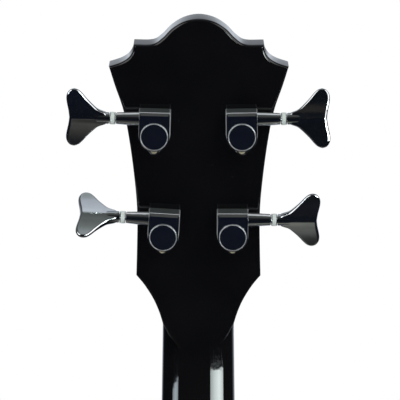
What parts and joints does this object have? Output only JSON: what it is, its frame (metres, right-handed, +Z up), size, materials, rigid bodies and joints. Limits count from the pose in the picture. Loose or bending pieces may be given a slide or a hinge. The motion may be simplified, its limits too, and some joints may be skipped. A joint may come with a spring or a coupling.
{
  "type": "bass guitar",
  "caption": "Semi-hollow double-cutaway bass guitar in black lacquer, with worm-geared tuning machines, strings, pickups and turning controls.",
  "frame": {"origin": "middle of the nut's front edge, in the plane where the fingerboard is glued to the neck; the instrument hangs there", "axes": "+Z up the neck to the headstock, -Y the side of the strings, +X the treble side"},
  "size_m": [0.4098, 0.0858, 1.1185],
  "materials": {
    "black_lacquer": "polished black lacquer over wood",
    "fingerboard_wood": "dark oiled fingerboard wood",
    "block_wood": "bare pale maple",
    "nut_bone": "smooth bone",
    "cream_plastic": "polished cream plastic",
    "black_plastic": "glossy black plastic",
    "chrome": "mirror chrome plate",
    "steel": "plain steel",
    "string_steel": "round-wound nickel steel",
    "pale_nylon": "pale nylon"
  },
  "bodies": {
    "body": {"back_binding": "cream_plastic", "back_plate": "black_lacquer", "bridge_body": "chrome", "bridge_pickup": "chrome", "bridge_pickup_ring": "black_plastic", "centre_block": "block_wood", "fingerboard": "fingerboard_wood", "neck": "black_lacquer", "neck_pickup": "chrome", "neck_pickup_ring": "black_plastic", "nut": "nut_bone", "output_jack": "chrome", "pot_tone": "steel", "pot_volume_bridge": "steel", "pot_volume_neck": "steel", "rim_bass_side": "black_lacquer", "rim_treble_side": "black_lacquer", "strap_button_heel": "chrome", "strap_button_tail": "chrome", "string_a": "string_steel", "string_d": "string_steel", "string_e": "string_steel", "string_g": "string_steel", "toggle_switch": "chrome", "top_binding": "cream_plastic", "top_plate": "black_lacquer", "truss_rod": "steel", "truss_rod_cover": "black_plastic", "tuner_bushing_a": "chrome", "tuner_bushing_d": "chrome", "tuner_bushing_e": "chrome", "tuner_bushing_g": "chrome", "tuner_housing_a": "chrome", "tuner_housing_d": "chrome", "tuner_housing_e": "chrome", "tuner_housing_g": "chrome", "tuner_washer_a": "pale_nylon", "tuner_washer_d": "pale_nylon", "tuner_washer_e": "pale_nylon", "tuner_washer_g": "pale_nylon"},
    "key_e": {"tuner_key_e": "chrome", "tuner_worm_e": "steel"},
    "post_e": {"tuner_post_e": "chrome"},
    "key_a": {"tuner_key_a": "chrome", "tuner_worm_a": "steel"},
    "post_a": {"tuner_post_a": "chrome"},
    "key_d": {"tuner_key_d": "chrome", "tuner_worm_d": "steel"},
    "post_d": {"tuner_post_d": "chrome"},
    "key_g": {"tuner_key_g": "chrome", "tuner_worm_g": "steel"},
    "post_g": {"tuner_post_g": "chrome"},
    "knob_volume_neck": {"knob_volume_neck": "black_plastic"},
    "knob_volume_bridge": {"knob_volume_bridge": "black_plastic"},
    "knob_tone": {"knob_tone": "black_plastic"},
    "toggle": {"toggle_lever": "cream_plastic"},
    "saddle_e": {"saddle_e": "chrome"},
    "saddle_a": {"saddle_a": "chrome"},
    "saddle_d": {"saddle_d": "chrome"},
    "saddle_g": {"saddle_g": "chrome"}
  },
  "joints": [
    {"name": "key_turn_e", "type": "hinge", "parent": "body", "child": "key_e", "pos_m": [-0.0197, 0.04268, 0.06866], "axis": [1, 0, 0], "continuous": true},
    {"name": "post_turn_e", "type": "hinge", "parent": "body", "child": "post_e", "pos_m": [-0.0197, 0.01854, 0.06663], "axis": [0, 0.9563, -0.2924], "continuous": true},
    {"name": "key_turn_a", "type": "hinge", "parent": "body", "child": "key_a", "pos_m": [-0.02444, 0.06017, 0.12584], "axis": [0.9998, -0.0051, -0.0167], "continuous": true},
    {"name": "post_turn_a", "type": "hinge", "parent": "body", "child": "post_a", "pos_m": [-0.0246, 0.03602, 0.12382], "axis": [0, 0.9563, -0.2924], "continuous": true},
    {"name": "key_turn_d", "type": "hinge", "parent": "body", "child": "key_d", "pos_m": [0.02436, 0.06017, 0.12584], "axis": [0.9997, 0.0077, 0.025], "continuous": true},
    {"name": "post_turn_d", "type": "hinge", "parent": "body", "child": "post_d", "pos_m": [0.0246, 0.03602, 0.12382], "axis": [0, 0.9563, -0.2924], "continuous": true},
    {"name": "key_turn_g", "type": "hinge", "parent": "body", "child": "key_g", "pos_m": [0.01915, 0.04268, 0.06864], "axis": [0.9981, 0.0178, 0.0584], "continuous": true},
    {"name": "post_turn_g", "type": "hinge", "parent": "body", "child": "post_g", "pos_m": [0.0197, 0.01854, 0.06663], "axis": [0, 0.9563, -0.2924], "continuous": true},
    {"name": "knob_volume_neck_turn", "type": "hinge", "parent": "body", "child": "knob_volume_neck", "pos_m": [0.112, 0.00428, -0.802], "axis": [-0.0572, 0.9965, 0.0618], "range_deg": [-150, 150]},
    {"name": "knob_volume_bridge_turn", "type": "hinge", "parent": "body", "child": "knob_volume_bridge", "pos_m": [0.15, 0.00804, -0.806], "axis": [-0.1109, 0.9921, 0.058], "range_deg": [-150, 150]},
    {"name": "knob_tone_turn", "type": "hinge", "parent": "body", "child": "knob_tone", "pos_m": [0.132, 0.00932, -0.842], "axis": [-0.0712, 0.9932, 0.0918], "range_deg": [-150, 150]},
    {"name": "pickup_switch", "type": "hinge", "parent": "body", "child": "toggle", "pos_m": [0.08992, 0.0093, -0.84578], "axis": [0.9992, 0.0395, 0.0044], "range_deg": [-13, 13]},
    {"name": "saddle_slide_e", "type": "slide", "parent": "body", "child": "saddle_e", "axis": [0, 0, 1], "range_m": [-0.004, 0.004], "deforming": ["string_e"]},
    {"name": "saddle_slide_a", "type": "slide", "parent": "body", "child": "saddle_a", "axis": [0, 0, 1], "range_m": [-0.004, 0.004], "deforming": ["string_a"]},
    {"name": "saddle_slide_d", "type": "slide", "parent": "body", "child": "saddle_d", "axis": [0, 0, 1], "range_m": [-0.004, 0.004], "deforming": ["string_d"]},
    {"name": "saddle_slide_g", "type": "slide", "parent": "body", "child": "saddle_g", "axis": [0, 0, 1], "range_m": [-0.004, 0.004], "deforming": ["string_g"]}
  ],
  "couplings": [
    {"joint": "post_turn_e", "follows": "key_turn_e", "ratio": -0.05},
    {"joint": "post_turn_a", "follows": "key_turn_a", "ratio": -0.05},
    {"joint": "post_turn_d", "follows": "key_turn_d", "ratio": 0.05},
    {"joint": "post_turn_g", "follows": "key_turn_g", "ratio": 0.05}
  ]
}
